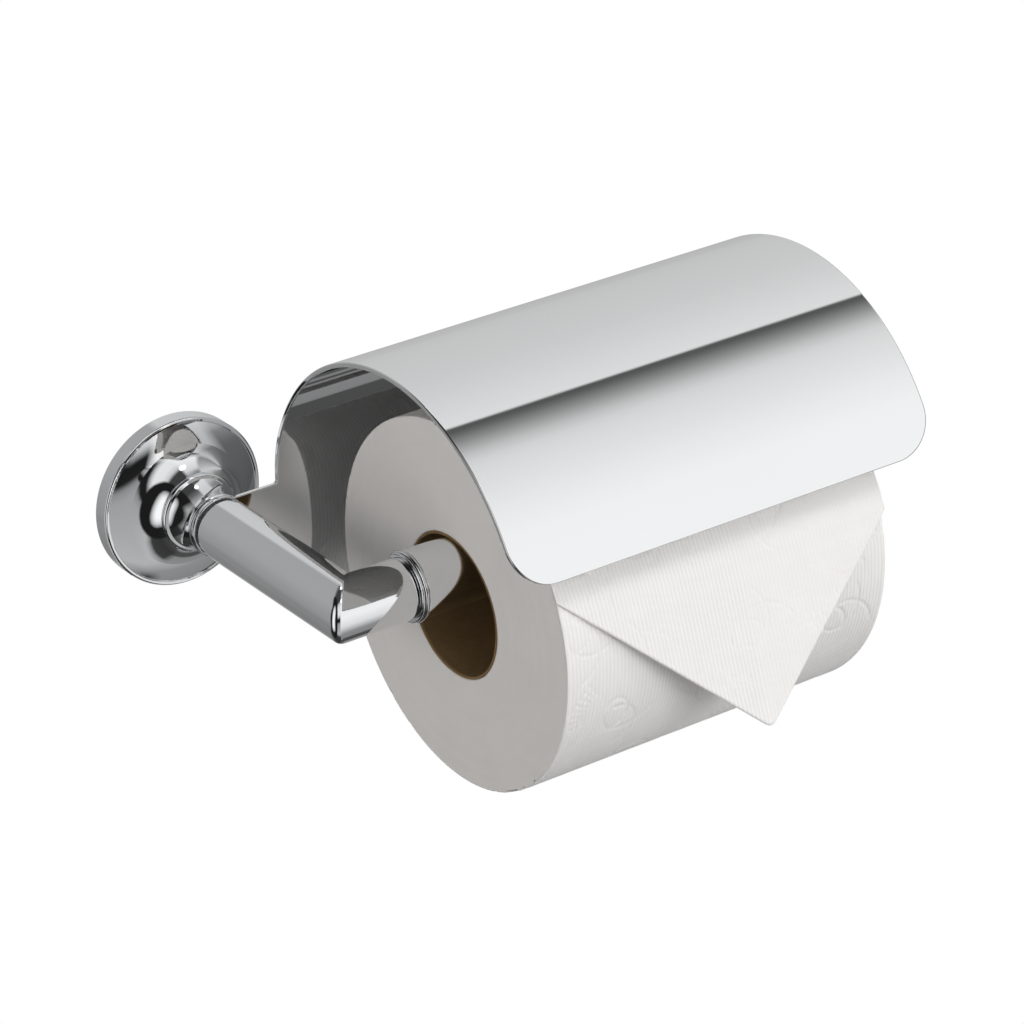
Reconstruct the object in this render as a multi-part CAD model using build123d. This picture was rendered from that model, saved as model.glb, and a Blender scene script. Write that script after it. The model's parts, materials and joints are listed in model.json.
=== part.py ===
from build123d import *

import math
import os

# Wall-mounted toilet paper holder: a round flange and turned neck, an L-shaped tube arm, a bent cover
# hood clamped behind the post, and a paper roll that turns on the roll bar and slides off its open end.
#
# Millimetres, +Z up. The origin is the centre of the flange on the wall plane Y = 0. The wall is on the
# +Y side, the post comes out along -Y, and the arm and roll bar run along +X.

# ---- Driving dimensions -------------------------------------------------------------------------
# Wall flange (a hollow shell of revolution about the post's axis)
FLANGE_R = 25.9
FLANGE_EDGE = 5.5
FLANGE_LIP_R = 24.8
FLANGE_WALL = 1.8
EDGE_ROUND = 0.6
LIP_STEP = 0.3
DOME_SAGITTA = 0.17
COVE_SAGITTA = 0.87
FLANGE_DOME_R = 18.5
FLANGE_DOME_Y = -7.2
BOSS_R = 11.7
BOSS_Y = -13.2

# Neck, between the flange's boss and the hood's eye
NECK_RIM_R = 11.8
NECK_WAIST_R = 8.8
NECK_LIP_R = 9.4
NECK_LIP = 1.2

# Tubes
TUBE_WALL = 1.5
POST_R = 9.0
ARM_REACH = 90.4
CORNER_ROUND = 2.0
ARM_END_X = 18.8
RING_END_X = 21.5
BEAD_R = 10.5
BAR_R = 10.1
BAR_END_X = 155.0
CAP_THICK = 3.0

# Hood, one bent sheet with a tab that ends in an eye round the post's axis
SHEET = 1.5
HOOD_BACK_Y = -25.1
HOOD_X0 = 19.3
HOOD_X1 = 162.6
HOOD_BACK_Z = 9.2
HOOD_BACK_R = 38.0
HOOD_FRONT_R = 63.7
HOOD_BLEND_DEG = 22.0
HOOD_END_DEG = 161.0
HOOD_CORNER_R = 13.0
HOOD_FOOT_Z = -30.0
HOOD_FOOT_R = 9.0
TAB_HALF = 8.0
EYE_R = 9.3
NOTCH_R = 1.0

# Fasteners
STUD_R = 3.0
STUD_HOLE_R = 3.2
THREAD_GAP = 0.03
NUT_FLATS = 10.0
NUT_THICK = 5.0
LOCK_THICK = 1.6
HOOD_WASHER = 1.2
HOOD_WASHER_R = 8.3
GRUB_R = 1.5
GRUB_Y = -2.2

# Wall bracket inside the flange
BRACKET_R = 17.5
BRACKET_THICK = 5.0
BRACKET_POCKET_R = 8.0
BRACKET_FLOOR = 1.5
SCREW_HOLE_R = 2.25
SCREW_SINK_R = 4.2
SCREW_SPACING = 25.0

# Paper roll, hanging on the bar by the inside of its core
ROLL_X0 = 35.2
ROLL_WIDTH = 111.0
ROLL_R = 55.0
CORE_R = 21.6
CORE_WALL = 0.55
CORE_GAP = 0.3
GLUE_GAP = 0.03

# Folded last sheet, hanging off the front of the roll
TAIL_GAP = 0.35
TAIL_THICK = 1.0
WRAP_THICK = 0.6
TAIL_LEAN_DEG = 18.0
WRAP_DEG = 30.0
TAIL_TIP_X = 94.3
TAIL_TIP = 49.6
TAIL_LEFT = -4.2
TAIL_RIGHT = 2.1
TAIL_TIP_R = 2.5

# ---- Worked out from them -----------------------------------------------------------------------
ARM_Y = -ARM_REACH
TUBE_R = POST_R - TUBE_WALL
BAR_INNER_R = BAR_R - TUBE_WALL
TAB_FRONT_Y = HOOD_BACK_Y - SHEET
POST_START_Y = TAB_FRONT_Y - HOOD_WASHER
CORE_INNER_R = CORE_R - CORE_WALL
ROLL_X1 = ROLL_X0 + ROLL_WIDTH
ROLL_DROP = CORE_INNER_R - BAR_R - CORE_GAP
ROLL_Z = -ROLL_DROP
NUT_FRONT_Y = BOSS_Y + FLANGE_WALL + LOCK_THICK


# ---- Helpers ------------------------------------------------------------------------------------
def turned_y(outline):
    """Solid of revolution about the post's axis, from an outline in (radius, Y)."""
    return revolve(make_face(outline), Axis.Y)


def turned_x(outline):
    """Solid of revolution about the arm's axis, from an outline in (X, radius)."""
    return Pos(0, ARM_Y, 0) * revolve(make_face(outline), Axis.X)


def rod_y(radius, y0, y1):
    """Plain round rod on the post's axis."""
    low, high = min(y0, y1), max(y0, y1)
    return Pos(0, (low + high) / 2, 0) * Rot(90, 0, 0) * Cylinder(radius, high - low)


def rod_x(radius, x0, x1, y=ARM_Y, z=0.0):
    """Plain round rod along X, on the arm's axis unless told otherwise."""
    return Pos((x0 + x1) / 2, y, z) * Rot(0, 90, 0) * Cylinder(radius, x1 - x0)


def ring_x(outer, inner, x0, x1, y=ARM_Y, z=0.0):
    """Round tube along X."""
    return rod_x(outer, x0, x1, y, z) - rod_x(inner, x0 - 1, x1 + 1, y, z)


# ---- Wall side ----------------------------------------------------------------------------------
def wall_bracket():
    """Round plate screwed to the wall, with a groove round its rim for the set screw's point."""
    groove = 0.9
    rim = Polyline(
        (0, 0), (BRACKET_R, 0), (BRACKET_R, GRUB_Y + 1.2), (BRACKET_R - groove, GRUB_Y),
        (BRACKET_R, GRUB_Y - 1.2), (BRACKET_R, -BRACKET_THICK), (BRACKET_POCKET_R, -BRACKET_THICK),
        (BRACKET_POCKET_R, -BRACKET_FLOOR), (0, -BRACKET_FLOOR), (0, 0),
    )
    plate = turned_y(rim)
    sink = SCREW_SINK_R - SCREW_HOLE_R
    for side in (-1, 1):
        z = side * SCREW_SPACING / 2
        hole = Rot(90, 0, 0) * Cylinder(SCREW_HOLE_R, 4 * BRACKET_THICK)
        cone = Rot(90, 0, 0) * Cone(SCREW_HOLE_R, SCREW_SINK_R, sink)
        plate -= Pos(0, 0, z) * hole
        plate -= Pos(0, -BRACKET_THICK + sink / 2, z) * cone
    return plate


def flange_outline():
    """The flange's outer form: a flat edge, a small lip, a low dome and a cove up to the boss."""
    lip = (FLANGE_LIP_R, -FLANGE_EDGE)
    seat = (FLANGE_LIP_R - LIP_STEP, -FLANGE_EDGE + LIP_STEP)
    inflection = (FLANGE_DOME_R, FLANGE_DOME_Y)
    boss = (BOSS_R, BOSS_Y + 0.6)
    edge = Polyline((0, 0), (FLANGE_R, 0), (FLANGE_R, -FLANGE_EDGE + EDGE_ROUND))
    shoulder = RadiusArc(edge @ 1, (FLANGE_R - EDGE_ROUND, -FLANGE_EDGE), -EDGE_ROUND)
    step = Polyline(shoulder @ 1, lip, seat)
    dome = SagittaArc(seat, inflection, DOME_SAGITTA)
    cove = SagittaArc(inflection, boss, -COVE_SAGITTA)
    close = Polyline(boss, (BOSS_R, BOSS_Y), (0, BOSS_Y), (0, 0))
    return edge + shoulder + step + dome + cove + close


def flange():
    """Hollow escutcheon with a pad inside its lower edge that carries the set screw."""
    inner_r = FLANGE_R - FLANGE_WALL
    roof_r = BOSS_R - FLANGE_WALL
    roof_y = BOSS_Y + FLANGE_WALL
    hollow = turned_y(Polyline(
        (0, 1), (inner_r, 1), (inner_r, -FLANGE_EDGE + FLANGE_WALL),
        (FLANGE_DOME_R - 0.5, FLANGE_DOME_Y + FLANGE_WALL), (roof_r, FLANGE_DOME_Y - 3.0),
        (roof_r, roof_y), (0, roof_y), (0, 1),
    ))
    shell = turned_y(flange_outline()) - hollow
    pad_inner = BRACKET_R + 0.6
    pad_depth = inner_r - pad_inner + 0.4
    shell += Pos(0, GRUB_Y + 0.1, -(pad_inner + pad_depth / 2)) * Box(8, 3.8, pad_depth)
    shell -= rod_y(STUD_HOLE_R, BOSS_Y - 1, BOSS_Y + 5)
    screw_way = Pos(0, GRUB_Y, -FLANGE_R) * Cylinder(GRUB_R + THREAD_GAP, 30)
    return shell - screw_way


def flange_set_screw():
    """Grub screw with a hexagon socket and a cone point that bears in the bracket's groove."""
    head_z = -FLANGE_R + 0.6
    point_z = -BRACKET_R - 0.5
    length = point_z - head_z
    body = Pos(0, GRUB_Y, head_z + length / 2) * Cylinder(GRUB_R, length)
    point = Pos(0, GRUB_Y, point_z + 0.4) * Cone(GRUB_R, 0.5, 0.8)
    socket = Pos(0, GRUB_Y, head_z) * extrude(RegularPolygon(0.75, 6, major_radius=False), 1.6)
    return body + point - socket


def mounting_stud():
    """Threaded rod through the flange, neck, hood and washer into the post."""
    return rod_y(STUD_R, NUT_FRONT_Y + NUT_THICK + 1.0, POST_START_Y - 12.0)


def stud_nut():
    """Hexagon nut inside the flange that draws the post, hood and neck together."""
    blank = extrude(RegularPolygon(NUT_FLATS / 2, 6, major_radius=False), NUT_THICK)
    blank -= Cylinder(STUD_R + THREAD_GAP, 4 * NUT_THICK)
    bevel = Cylinder(NUT_FLATS * 0.56, NUT_THICK, align=(Align.CENTER, Align.CENTER, Align.MIN))
    bevel = chamfer(bevel.edges().filter_by(GeomType.CIRCLE), 0.5)
    return Pos(0, NUT_FRONT_Y + NUT_THICK, 0) * Rot(90, 0, 0) * (blank & bevel)


def lock_washer():
    """Split spring washer under the nut."""
    ring = rod_y(NUT_FLATS / 2, NUT_FRONT_Y - LOCK_THICK, NUT_FRONT_Y)
    ring -= rod_y(STUD_HOLE_R, NUT_FRONT_Y - 3, NUT_FRONT_Y + 1)
    split = Pos(0, NUT_FRONT_Y - LOCK_THICK / 2, NUT_FLATS / 2) * Rot(0, 0, 20) * Box(0.8, 6, NUT_FLATS)
    return ring - split


# ---- Neck, hood and post ------------------------------------------------------------------------
def neck():
    """Turned neck: a rounded rim on the boss, a cove down to the waist and a lip behind the hood."""
    rim_y = BOSS_Y - 1.4
    lip_y = HOOD_BACK_Y + NECK_LIP
    base = Polyline((STUD_HOLE_R, BOSS_Y), (NECK_RIM_R - 0.4, BOSS_Y))
    bead = ThreePointArc((NECK_RIM_R - 0.4, BOSS_Y), (NECK_RIM_R, BOSS_Y - 0.7), (NECK_RIM_R - 0.5, rim_y))
    step = Line((NECK_RIM_R - 0.5, rim_y), (NECK_RIM_R - 1.2, rim_y - 0.2))
    start = (NECK_RIM_R - 1.2, rim_y - 0.2)
    waist = (NECK_WAIST_R, lip_y + 1.4)
    cove = Spline(start, (NECK_WAIST_R + 0.55, BOSS_Y - 4.9), waist, tangents=[(-0.55, -1), (-0.03, -1)])
    flare = ThreePointArc(waist, (NECK_WAIST_R + 0.12, lip_y + 0.5), (NECK_LIP_R - 0.15, lip_y))
    lip = ThreePointArc(
        (NECK_LIP_R - 0.15, lip_y), (NECK_LIP_R, lip_y - NECK_LIP / 2), (NECK_LIP_R - 0.15, HOOD_BACK_Y)
    )
    close = Polyline((NECK_LIP_R - 0.15, HOOD_BACK_Y), (STUD_HOLE_R, HOOD_BACK_Y), (STUD_HOLE_R, BOSS_Y))
    return turned_y(base + bead + step + cove + flare + lip + close)


def hood_centres():
    """Centres of the hood's rear and front arcs in (Y, Z); the two arcs are tangent where they meet."""
    rear = (HOOD_BACK_Y - HOOD_BACK_R, HOOD_BACK_Z)
    blend = math.radians(HOOD_BLEND_DEG)
    shift = HOOD_BACK_R - HOOD_FRONT_R
    front = (rear[0] + shift * math.cos(blend), rear[1] + shift * math.sin(blend))
    return rear, front


def hood_point(angle_deg, inset=0.0):
    """Point of the hood's outer surface at an angle up from the back, in (Y, Z)."""
    rear, front = hood_centres()
    centre, radius = (rear, HOOD_BACK_R) if angle_deg <= HOOD_BLEND_DEG else (front, HOOD_FRONT_R)
    angle = math.radians(angle_deg)
    return (centre[0] + (radius - inset) * math.cos(angle), centre[1] + (radius - inset) * math.sin(angle))


def hood_profile():
    """Closed outline of the bent sheet, seen along the roll bar."""
    middle = (HOOD_BLEND_DEG + HOOD_END_DEG) / 2

    def side(inset):
        rise = Line((HOOD_BACK_Y - inset, HOOD_FOOT_Z), hood_point(0, inset))
        rear = ThreePointArc(
            hood_point(0, inset), hood_point(HOOD_BLEND_DEG / 2, inset), hood_point(HOOD_BLEND_DEG, inset)
        )
        front = ThreePointArc(
            hood_point(HOOD_BLEND_DEG, inset), hood_point(middle, inset), hood_point(HOOD_END_DEG, inset)
        )
        return rise + rear + front

    foot = Line((HOOD_BACK_Y, HOOD_FOOT_Z), (HOOD_BACK_Y - SHEET, HOOD_FOOT_Z))
    edge = Line(hood_point(HOOD_END_DEG), hood_point(HOOD_END_DEG, SHEET))
    return side(0.0) + side(SHEET) + foot + edge


def corner_cutter(radius):
    """What rounding takes off a square corner at the origin whose sides run along +X and +Y.

    The circle crosses both sides at a slight angle instead of touching them, which keeps the cut clean.
    """
    centre = radius - 0.03
    cross = centre - math.sqrt(radius**2 - centre**2)
    middle = centre - radius / math.sqrt(2)
    spare = 2.0
    arc = ThreePointArc((0, cross), (middle, middle), (cross, 0))
    rest = Polyline((cross, 0), (cross, -spare), (-spare, -spare), (-spare, cross), (0, cross))
    return make_face(arc + rest)


def hood():
    """Bent sheet, open at both ends, with rounded corners, a tab on its left and the tab's eye."""
    along_x = Plane(origin=(HOOD_X0, 0, 0), x_dir=(0, 1, 0), z_dir=(1, 0, 0))
    sheet = extrude(along_x * make_face(hood_profile()), HOOD_X1 - HOOD_X0)
    # the tab lies in the flat stretch of the back, with small fillets where it meets the hood's edge
    lap = 1.0
    tab = Pos((HOOD_X0 + lap) / 2, 0) * Rectangle(HOOD_X0 + lap, 2 * TAB_HALF)
    for side in (1, -1):
        fillet_block = Pos(HOOD_X0 + (lap - NOTCH_R) / 2, side * TAB_HALF) * Rectangle(NOTCH_R + lap, 2 * NOTCH_R)
        fillet_block -= Pos(HOOD_X0 - NOTCH_R, side * (TAB_HALF + NOTCH_R)) * Circle(NOTCH_R)
        tab += fillet_block
    blank = tab + Circle(EYE_R) - Circle(STUD_HOLE_R)
    facing_out = Plane(origin=(0, HOOD_BACK_Y, 0), x_dir=(1, 0, 0), z_dir=(0, -1, 0))
    part = sheet + extrude(facing_out * blank, SHEET)
    # front corners, cut square to the sheet at the middle of each rounded stretch
    half_turn = math.degrees(HOOD_CORNER_R / HOOD_FRONT_R) / 2
    out = math.radians(HOOD_END_DEG - half_turn)
    end_y, end_z = hood_point(HOOD_END_DEG)
    for x, inward in ((HOOD_X0, 1), (HOOD_X1, -1)):
        plane = Plane(origin=(x, end_y, end_z), x_dir=(inward, 0, 0), z_dir=(0, math.cos(out), math.sin(out)))
        waste = corner_cutter(HOOD_CORNER_R)
        if plane.y_dir.Z < 0:
            waste = mirror(waste, Plane.XZ)
        part -= extrude(plane * waste, 4 * SHEET, both=True)
    # lower corners of the back
    for x, inward in ((HOOD_X0, 1), (HOOD_X1, -1)):
        plane = Plane(origin=(x, HOOD_BACK_Y, HOOD_FOOT_Z), x_dir=(inward, 0, 0), z_dir=(0, -inward, 0))
        part -= extrude(plane * corner_cutter(HOOD_FOOT_R), 4 * SHEET, both=True)
    return part


def hood_washer():
    """Plain washer between the hood's eye and the post, seen as a dark groove."""
    return rod_y(HOOD_WASHER_R, TAB_FRONT_Y, POST_START_Y) - rod_y(STUD_HOLE_R, TAB_FRONT_Y + 1, POST_START_Y - 1)


def elbow_prism():
    """Block over the post and arm whose outer corner is rounded, to soften the mitre's tip."""
    far = 200
    corner = Pos(far / 2 - POST_R, far / 2 - POST_R) * Rectangle(far, far)
    corner = fillet(corner.vertices().sort_by(lambda v: v.X + v.Y)[0], CORNER_ROUND)
    return Pos(0, ARM_Y, 0) * extrude(corner, 2 * POST_R, both=True)


def mitre_half(side):
    """Half space on one side of the mitre plane: +1 keeps the post, -1 keeps the arm."""
    size = 400
    return Pos(0, ARM_Y, 0) * Rot(0, 0, 45) * Pos(0, side * size / 2, 0) * Box(size, size, size)


def post():
    """Post tube from the washer to the mitre, with a rounded back edge."""
    y0, y1 = POST_START_Y, ARM_Y - 2 * POST_R
    round_r = 0.7
    outer = rod_y(POST_R, y1, y0)
    outer = fillet(outer.edges().filter_by(GeomType.CIRCLE).sort_by(Axis.Y)[-1], round_r)
    return (outer - rod_y(TUBE_R, y1 - 1, y0 + 1)) & mitre_half(1) & elbow_prism()


def post_insert():
    """Threaded plug brazed into the back of the post."""
    plug = rod_y(TUBE_R - THREAD_GAP, POST_START_Y, POST_START_Y - 14)
    return plug - rod_y(STUD_R + THREAD_GAP, POST_START_Y + 1, POST_START_Y - 13)


def arm():
    """Short arm tube brazed to the post at the mitre, with a rounded free edge."""
    round_r = 1.0
    outer = rod_x(POST_R, -2 * POST_R, ARM_END_X)
    outer = fillet(outer.edges().filter_by(GeomType.CIRCLE).sort_by(Axis.X)[-1], round_r)
    bore = rod_x(TUBE_R, -2 * POST_R - 1, ARM_END_X + 1)
    return (outer - bore) & mitre_half(-1) & elbow_prism()


def arm_insert():
    """Threaded plug brazed into the arm's free end."""
    plug = rod_x(TUBE_R - THREAD_GAP, ARM_END_X - 9, ARM_END_X)
    return plug - rod_x(STUD_R + THREAD_GAP, ARM_END_X - 10, ARM_END_X + 1)


def bar_stud():
    """Threaded rod that joins the roll bar to the arm through the ring."""
    return rod_x(STUD_R, ARM_END_X - 8, RING_END_X + 10)


def arm_ring():
    """Turned ring between arm and bar: a groove, a small bead, a fine groove and a larger bead."""
    hub_r = 8.6
    seat_r = 9.75
    small_0, small_1 = ARM_END_X + 0.45, ARM_END_X + 1.35
    large_0, large_1 = small_1 + 0.2, RING_END_X
    outline = Polyline((ARM_END_X, STUD_HOLE_R), (ARM_END_X, hub_r), (small_0, hub_r), (small_0, seat_r))
    small = ThreePointArc((small_0, seat_r), ((small_0 + small_1) / 2, BEAD_R - 0.3), (small_1, seat_r))
    edge_r = BAR_R - 0.02
    floor = Polyline((small_1, seat_r), (large_0, seat_r), (large_0, edge_r))
    large = ThreePointArc((large_0, edge_r), ((large_0 + large_1) / 2, BEAD_R), (large_1, edge_r))
    close = Polyline((large_1, edge_r), (large_1, STUD_HOLE_R), (ARM_END_X, STUD_HOLE_R))
    return turned_x(outline + small + floor + large + close)


# ---- Roll bar -----------------------------------------------------------------------------------
def roll_bar():
    """Tube that the paper roll hangs on."""
    outer = rod_x(BAR_R, RING_END_X, BAR_END_X)
    outer = fillet(outer.edges().filter_by(GeomType.CIRCLE).sort_by(Axis.X)[0], 0.3)
    return outer - rod_x(BAR_INNER_R, RING_END_X - 1, BAR_END_X + 1)


def bar_insert():
    """Threaded plug brazed into the roll bar's near end."""
    plug = rod_x(BAR_INNER_R - THREAD_GAP, RING_END_X, RING_END_X + 12)
    return plug - rod_x(STUD_R + THREAD_GAP, RING_END_X - 1, RING_END_X + 11)


def end_cap():
    """Cap on the open end of the bar, no wider than the bar so that the core slides straight off."""
    spigot = rod_x(BAR_INNER_R - THREAD_GAP, BAR_END_X - 8, BAR_END_X)
    head = rod_x(BAR_R, BAR_END_X, BAR_END_X + CAP_THICK)
    head = fillet(head.edges().filter_by(GeomType.CIRCLE).sort_by(Axis.X)[-1], CAP_THICK * 0.7)
    return spigot + head


# ---- Paper --------------------------------------------------------------------------------------
def cardboard_core():
    """Thin cardboard tube, hanging on the bar."""
    return ring_x(CORE_R, CORE_INNER_R, ROLL_X0, ROLL_X1, ARM_Y, ROLL_Z)


def paper_roll():
    """Wound paper."""
    return ring_x(ROLL_R, CORE_R + GLUE_GAP, ROLL_X0, ROLL_X1, ARM_Y, ROLL_Z)


def paper_tail():
    """Folded last sheet: a thin wrap on the roll that leaves it on a tangent as a pointed flap."""
    inner = ROLL_R + TAIL_GAP
    lean = math.radians(TAIL_LEAN_DEG)
    outward = (0, -math.cos(lean), math.sin(lean))
    start = (0, ARM_Y + outward[1] * inner, ROLL_Z + outward[2] * inner)
    flat = Plane(origin=start, x_dir=(1, 0, 0), z_dir=outward)
    overlap = 0.5
    outline = Polyline(
        (ROLL_X0, overlap), (ROLL_X0, min(-TAIL_LEFT, 0)), (TAIL_TIP_X, -TAIL_TIP),
        (ROLL_X1, -TAIL_RIGHT), (ROLL_X1, overlap), (ROLL_X0, overlap),
    )
    flap = make_face(outline)
    flap = fillet(flap.vertices().sort_by(Axis.Y)[0], TAIL_TIP_R)
    slab = extrude(flat * flap, TAIL_THICK)
    wrap = ring_x(inner + WRAP_THICK, inner, ROLL_X0, ROLL_X1, ARM_Y, ROLL_Z)
    reach = 2 * ROLL_R
    wedge = Polyline(
        (0, 0), (-reach * math.cos(lean), reach * math.sin(lean)),
        (-reach * math.cos(lean + math.radians(WRAP_DEG)), reach * math.sin(lean + math.radians(WRAP_DEG))),
        (0, 0),
    )
    side = Plane(origin=(ROLL_X0, ARM_Y, ROLL_Z), x_dir=(0, 1, 0), z_dir=(1, 0, 0))
    wrap &= extrude(side * make_face(wedge), ROLL_WIDTH)
    return slab + wrap


NODES = {
    "wall_bracket": wall_bracket,
    "flange": flange,
    "flange_set_screw": flange_set_screw,
    "mounting_stud": mounting_stud,
    "stud_nut": stud_nut,
    "lock_washer": lock_washer,
    "neck": neck,
    "hood": hood,
    "hood_washer": hood_washer,
    "post": post,
    "post_insert": post_insert,
    "arm": arm,
    "arm_insert": arm_insert,
    "arm_ring": arm_ring,
    "bar_stud": bar_stud,
    "roll_bar": roll_bar,
    "bar_insert": bar_insert,
    "end_cap": end_cap,
    "cardboard_core": cardboard_core,
    "paper_roll": paper_roll,
    "paper_tail": paper_tail,
}

os.makedirs("parts", exist_ok=True)
for name, make in NODES.items():
    shape = make()
    export_step(shape, f"parts/{name}.step")
    print(name, len(shape.solids()), round(shape.volume, 1))
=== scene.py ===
import json
import math
import random

import bmesh
import bpy
import numpy as np
from mathutils import Matrix, Vector
from mathutils.geometry import tessellate_polygon


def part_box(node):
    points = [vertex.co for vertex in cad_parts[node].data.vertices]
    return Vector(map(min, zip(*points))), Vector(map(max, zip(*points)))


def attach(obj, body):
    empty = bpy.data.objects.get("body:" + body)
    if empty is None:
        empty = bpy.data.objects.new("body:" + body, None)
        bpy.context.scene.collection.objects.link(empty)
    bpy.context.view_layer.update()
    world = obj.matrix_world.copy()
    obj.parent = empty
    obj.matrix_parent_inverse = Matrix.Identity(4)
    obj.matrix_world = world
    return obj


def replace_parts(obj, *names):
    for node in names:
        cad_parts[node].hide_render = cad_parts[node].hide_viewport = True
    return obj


# A wall-mounted toilet paper holder in polished chrome. Z is up, the wall is the plane Y = 0 and the roll's
# axis runs along +X. The hood, the brazed elbow, the turned ring, the roll, its core and its folded last
# sheet are built here inside the CAD's boxes; every other part is the CAD's own solid with a material.

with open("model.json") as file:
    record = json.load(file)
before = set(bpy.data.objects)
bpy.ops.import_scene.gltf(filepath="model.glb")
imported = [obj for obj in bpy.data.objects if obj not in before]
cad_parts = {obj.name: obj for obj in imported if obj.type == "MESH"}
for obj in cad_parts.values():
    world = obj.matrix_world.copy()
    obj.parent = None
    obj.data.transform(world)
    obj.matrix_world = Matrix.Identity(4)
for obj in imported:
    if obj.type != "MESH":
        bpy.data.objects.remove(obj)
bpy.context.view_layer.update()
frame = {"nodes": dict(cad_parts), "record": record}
MM = 0.001
rng = np.random.default_rng(7)


# ---------------------------------------------------------------- node helpers

def tree_of(name):
    """A new material with an empty node tree, its shader and output."""
    material = bpy.data.materials.new(name)
    material.use_nodes = True
    nodes, links = material.node_tree.nodes, material.node_tree.links
    nodes.clear()
    shader = nodes.new("ShaderNodeBsdfPrincipled")
    out = nodes.new("ShaderNodeOutputMaterial")
    links.new(shader.outputs[0], out.inputs[0])
    return material, nodes, links, shader


def math_node(nodes, links, operation, a, b=0.0):
    """A maths node of one operation; each operand is a socket or a number."""
    node = nodes.new("ShaderNodeMath")
    node.operation = operation
    for socket, value in zip(node.inputs, (a, b)):
        if hasattr(value, "links"):
            links.new(value, socket)
        else:
            socket.default_value = value
    return node.outputs[0]


def noise_node(nodes, links, vector, scale, detail=3.0, rough=0.5, distortion=0.0):
    """Noise from 0 to 1 over a vector."""
    node = nodes.new("ShaderNodeTexNoise")
    node.inputs["Scale"].default_value = scale
    node.inputs["Detail"].default_value = detail
    node.inputs["Roughness"].default_value = rough
    node.inputs["Distortion"].default_value = distortion
    links.new(vector, node.inputs["Vector"])
    return node.outputs["Fac"]


def stretched(nodes, links, vector, scale):
    """The vector with its own scale along each axis."""
    node = nodes.new("ShaderNodeMapping")
    node.inputs["Scale"].default_value = scale
    links.new(vector, node.inputs["Vector"])
    return node.outputs[0]


def ranged(nodes, links, value, lo, hi, source=(0.0, 1.0)):
    """The value carried from the source range to the range lo to hi, and held at its ends."""
    node = nodes.new("ShaderNodeMapRange")
    links.new(value, node.inputs["Value"])
    for key, number in (("From Min", source[0]), ("From Max", source[1]), ("To Min", lo), ("To Max", hi)):
        node.inputs[key].default_value = number
    return node.outputs[0]


def mixed(nodes, links, factor, first, second):
    """A colour mix of two ends; each end is a socket or a colour."""
    node = nodes.new("ShaderNodeMix")
    node.data_type = "RGBA"
    links.new(factor, node.inputs[0])
    for socket, colour in ((node.inputs[6], first), (node.inputs[7], second)):
        if hasattr(colour, "links"):
            links.new(colour, socket)
        else:
            socket.default_value = (*colour, 1)
    return node.outputs[2]


def bumped(nodes, links, shader, height, strength, distance):
    """Relief on a shader's normal from a height."""
    node = nodes.new("ShaderNodeBump")
    node.inputs["Strength"].default_value = strength
    node.inputs["Distance"].default_value = distance
    links.new(height, node.inputs["Height"])
    links.new(node.outputs[0], shader.inputs["Normal"])


def weighted_sum(nodes, links, a, weight_a, b, weight_b):
    """a and b added up, each times its weight."""
    return math_node(nodes, links, "ADD", math_node(nodes, links, "MULTIPLY", a, weight_a),
                     math_node(nodes, links, "MULTIPLY", b, weight_b))


def object_coords(nodes):
    return nodes.new("ShaderNodeTexCoord").outputs["Object"]


# ---------------------------------------------------------------- materials

def metal(name, dark, light, rough, bump=0.03, streak=(60, 900, 60), wave=14, metallic=1.0):
    """Polished or turned metal: tone drifts a little, fine lines and soft waves show in the gloss."""
    material, nodes, links, shader = tree_of(name)
    at = object_coords(nodes)
    shader.inputs["Metallic"].default_value = metallic
    lines = noise_node(nodes, links, stretched(nodes, links, at, streak), 3.0, 4.0, 0.6)
    drift = noise_node(nodes, links, at, wave, 2.0)
    links.new(mixed(nodes, links, drift, dark, light), shader.inputs["Base Color"])
    grain = math_node(nodes, links, "MULTIPLY", lines, drift)
    links.new(ranged(nodes, links, grain, *rough, (0.1, 0.45)), shader.inputs["Roughness"])
    height = math_node(nodes, links, "ADD", math_node(nodes, links, "MULTIPLY", lines, 0.12), drift)
    bumped(nodes, links, shader, height, bump, 0.2 * MM)
    return material


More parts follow.
